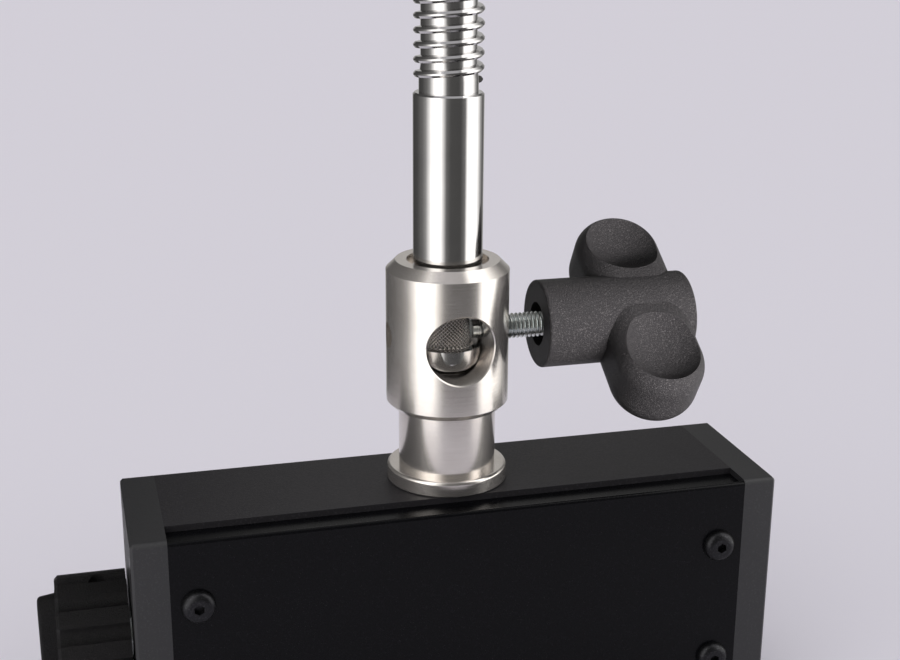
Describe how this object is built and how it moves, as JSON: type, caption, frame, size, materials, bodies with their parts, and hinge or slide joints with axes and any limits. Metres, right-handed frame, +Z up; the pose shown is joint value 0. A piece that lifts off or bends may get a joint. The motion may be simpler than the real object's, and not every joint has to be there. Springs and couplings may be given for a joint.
{
  "type": "screw column on magnetic base",
  "caption": "Black magnetic base block with a flanged steel socket, a wing screw clamp and a pin-ended threaded column.",
  "frame": {"origin": "under the column axis, on the ground underside of the block", "axes": "+Z up along the column; X along the block, +X towards the wing knob; -Y is the plain front face"},
  "size_m": [0.1726, 0.0524, 0.2138],
  "materials": {
    "column_steel": "turned steel, polished shank, knurled waist",
    "socket_steel": "turned steel with fine turning lines",
    "zinc_screw": "bright zinc plated thread",
    "brass": "machined brass",
    "knob_plastic": "glass filled nylon, grained",
    "cover_paint": "textured black powder coat",
    "front_paint": "smooth black paint",
    "cap_paint": "fine black powder coat",
    "pole_iron": "ground soft iron",
    "aluminium": "sawn and milled",
    "magnet": "sintered",
    "bronze": "sintered bronze",
    "rubber": "moulded",
    "black_screw": "black oxide"
  },
  "bodies": {
    "base": {"socket_collar": "socket_steel", "flanged_foot": "socket_steel", "base_stud": "zinc_screw", "top_cover": "cover_paint", "front_cover": "front_paint", "step_rail": "front_paint", "left_end_cap": "cap_paint", "right_end_cap": "cap_paint", "front_pole": "pole_iron", "rear_pole": "pole_iron", "mounting_bar": "aluminium", "brass_strip": "brass", "left_bush": "bronze", "right_bush": "bronze", "shaft_seal": "rubber", "stop_pin": "zinc_screw", "front_cover_screws": "black_screw", "rear_cover_screws": "black_screw", "end_cap_screws": "black_screw", "pole_screws": "black_screw"},
    "column": {"threaded_column": "column_steel"},
    "thrust_tip": {"thrust_tip": "zinc_screw"},
    "wing_knob": {"clamp_screw": "zinc_screw", "wing_knob": "knob_plastic", "knob_cap": "knob_plastic"},
    "rotor": {"rotor_magnet": "magnet", "upper_rotor_segment": "pole_iron", "lower_rotor_segment": "pole_iron", "drive_disc": "zinc_screw", "tail_disc": "zinc_screw", "rotor_screws": "black_screw", "switch_knob": "knob_plastic", "switch_grub_screw": "black_screw"}
  },
  "joints": [
    {"name": "column_turn", "type": "hinge", "parent": "base", "child": "column", "pos_m": [0, 0, 0.12], "axis": [0, 0, 1], "continuous": true},
    {"name": "clamp_advance", "type": "slide", "parent": "base", "child": "thrust_tip", "axis": [1, 0, 0], "range_m": [0, 0.0061]},
    {"name": "clamp_turn", "type": "hinge", "parent": "thrust_tip", "child": "wing_knob", "pos_m": [0.03, 0, 0.0982], "axis": [1, 0, 0], "range_deg": [0, 2160]},
    {"name": "magnet_switch", "type": "hinge", "parent": "base", "child": "rotor", "pos_m": [0, -0.00208, 0.031], "axis": [1, 0, 0], "range_deg": [0, 90]}
  ],
  "couplings": [
    {"joint": "clamp_advance", "follows": "clamp_turn", "m_per_rad": 0.00015915}
  ]
}
